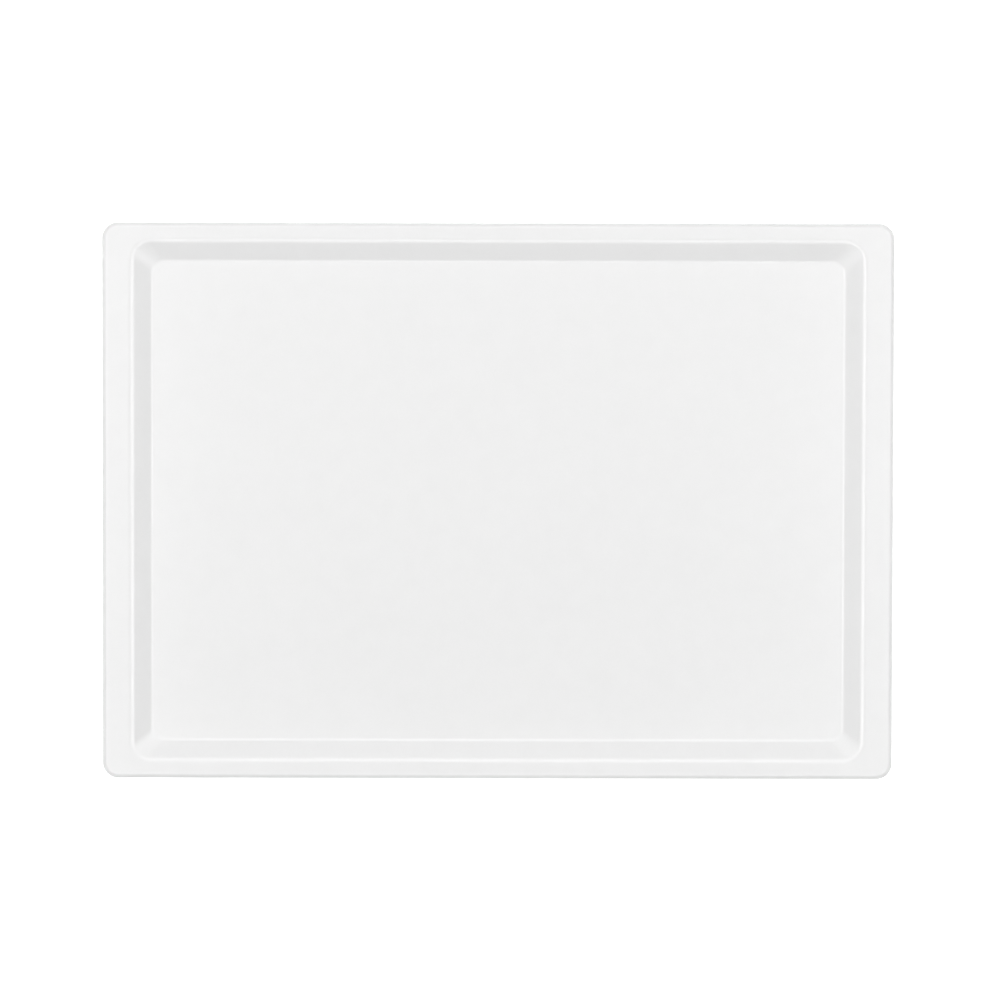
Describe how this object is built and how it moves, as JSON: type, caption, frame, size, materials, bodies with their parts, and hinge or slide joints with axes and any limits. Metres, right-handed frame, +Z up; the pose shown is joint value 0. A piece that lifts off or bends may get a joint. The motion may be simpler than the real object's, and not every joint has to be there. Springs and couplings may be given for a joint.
{
  "type": "cutting board",
  "caption": "Rectangular white plastic cutting board with a raised rim, a sloped inner wall and a shallow sunken well.",
  "frame": {"origin": "middle of the flat underside, on the surface that the board rests on", "axes": "+X along the board's length, +Y across its width, +Z up out of the well"},
  "size_m": [0.5, 0.3516, 0.02],
  "materials": {
    "board": "fine-grained white polyethylene with a soft sheen"
  },
  "bodies": {
    "root": {"board": "board"}
  },
  "joints": []
}
